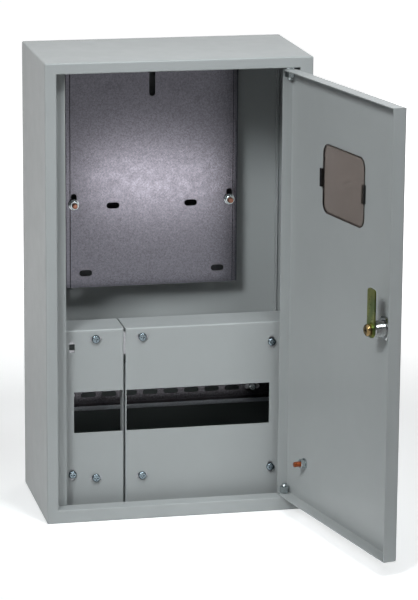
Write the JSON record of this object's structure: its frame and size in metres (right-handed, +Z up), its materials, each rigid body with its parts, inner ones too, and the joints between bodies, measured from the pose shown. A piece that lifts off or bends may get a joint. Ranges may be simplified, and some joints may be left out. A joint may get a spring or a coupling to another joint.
{
  "type": "electric meter box",
  "caption": "Wall-mounted sheet-steel electric meter box with its door open: slotted meter panel above, screwed covers over a module rail below, door with window and cam lock.",
  "frame": {"origin": "centre of the case's underside, midway across its width and its depth", "axes": "+Z up along the height, +Y to the rear (the wall side), +X to the right as seen from the front"},
  "size_m": [0.3472, 0.4224, 0.54],
  "materials": {
    "grey_powder_coat": "fine-grained satin powder coat",
    "galvanised_steel": "fine-grained zinc coat, satin",
    "zinc_plate": "bright zinc plate",
    "copper_plate": "copper flash, satin",
    "chrome_plate": "bright chrome",
    "yellow_zinc": "yellow-passivated zinc",
    "smoked_plastic": "smoked, glossy"
  },
  "bodies": {
    "case": {"case_shell": "grey_powder_coat", "rear_panel": "grey_powder_coat", "left_cover": "grey_powder_coat", "right_cover": "grey_powder_coat", "upper_cover_support": "grey_powder_coat", "lower_left_bracket": "grey_powder_coat", "lower_right_bracket": "grey_powder_coat", "meter_panel": "galvanised_steel", "module_rail": "galvanised_steel", "rail_brackets": "galvanised_steel", "meter_panel_washers": "zinc_plate", "meter_panel_nuts": "zinc_plate", "left_cover_screws": "zinc_plate", "right_cover_screws": "zinc_plate", "rail_screws": "zinc_plate", "rail_nuts": "zinc_plate", "hinge_bolts": "zinc_plate", "hinge_washers": "zinc_plate", "hinge_nuts": "zinc_plate", "meter_panel_studs": "copper_plate"},
    "door": {"door_panel": "grey_powder_coat", "door_window": "smoked_plastic", "lock_barrel": "chrome_plate", "lock_nut": "chrome_plate", "door_earth_stud": "copper_plate", "door_earth_washer": "zinc_plate", "door_earth_nut": "zinc_plate"},
    "lock_rotor": {"lock_plug": "chrome_plate", "lock_cam": "yellow_zinc", "cam_washer": "yellow_zinc", "cam_screw": "yellow_zinc"}
  },
  "joints": [
    {"name": "door_hinge", "type": "hinge", "parent": "case", "child": "door", "pos_m": [0.1294, -0.075, 0.27], "axis": [0, 0, 1], "range_deg": [-102, 3]},
    {"name": "lock_turn", "type": "hinge", "parent": "door", "child": "lock_rotor", "pos_m": [0.17844, -0.30574, 0.2755], "axis": [0.9781, 0.2079, 0], "range_deg": [0, 90]}
  ]
}
